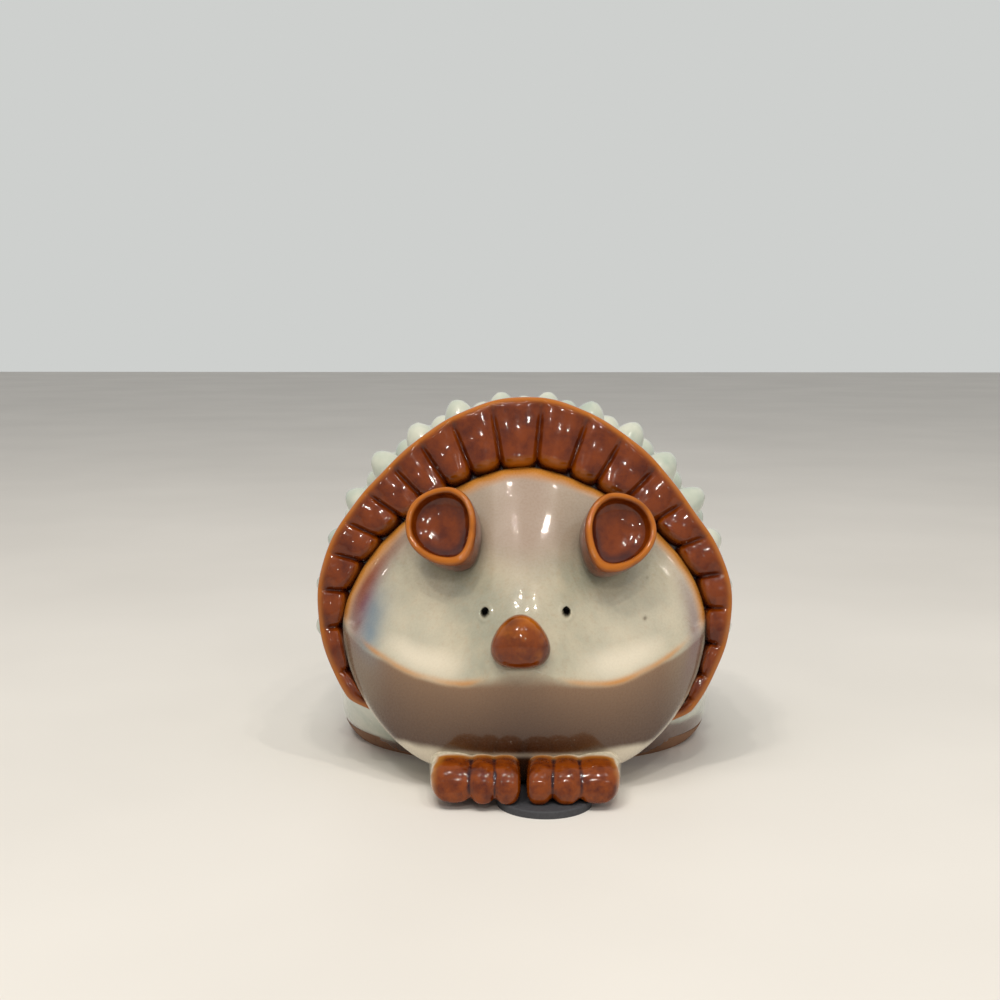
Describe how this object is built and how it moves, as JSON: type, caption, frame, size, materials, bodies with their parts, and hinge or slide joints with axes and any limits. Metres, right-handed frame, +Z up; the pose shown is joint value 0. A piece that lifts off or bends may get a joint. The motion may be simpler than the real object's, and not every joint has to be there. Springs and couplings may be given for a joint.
{
  "type": "hedgehog figurine",
  "caption": "Hollow glazed stoneware hedgehog ornament with a fluted ruff, a spiny domed back, cupped ears and a pointed face on two toed paws.",
  "frame": {"origin": "on the table plane, under the middle of the figure's bounding box", "axes": "+Z up, the face looks along -Y, +X is on the viewer's right when the face is seen from the front"},
  "size_m": [0.1254, 0.1382, 0.1073],
  "materials": {
    "pale_glaze": "glossy pale celadon glaze",
    "brown_glaze": "glossy iron brown glaze, amber where it thins",
    "bare_clay": "unglazed stoneware, matte",
    "pad_rubber": "matte dark grey"
  },
  "bodies": {
    "root": {"back_shell": "pale_glaze", "base_slab": "bare_clay", "face_shell": "pale_glaze", "ruff_band": "brown_glaze", "ruff_lobes": "brown_glaze", "left_ear": "brown_glaze", "right_ear": "brown_glaze", "nose": "brown_glaze", "left_paw": "brown_glaze", "right_paw": "brown_glaze", "front_pad": "pad_rubber", "spine_row_1": "pale_glaze", "spine_row_2": "pale_glaze", "spine_row_3": "pale_glaze", "spine_row_4": "pale_glaze", "spine_row_5": "pale_glaze", "spine_row_6": "pale_glaze", "spine_row_7": "pale_glaze", "spine_row_8": "pale_glaze"}
  },
  "joints": []
}
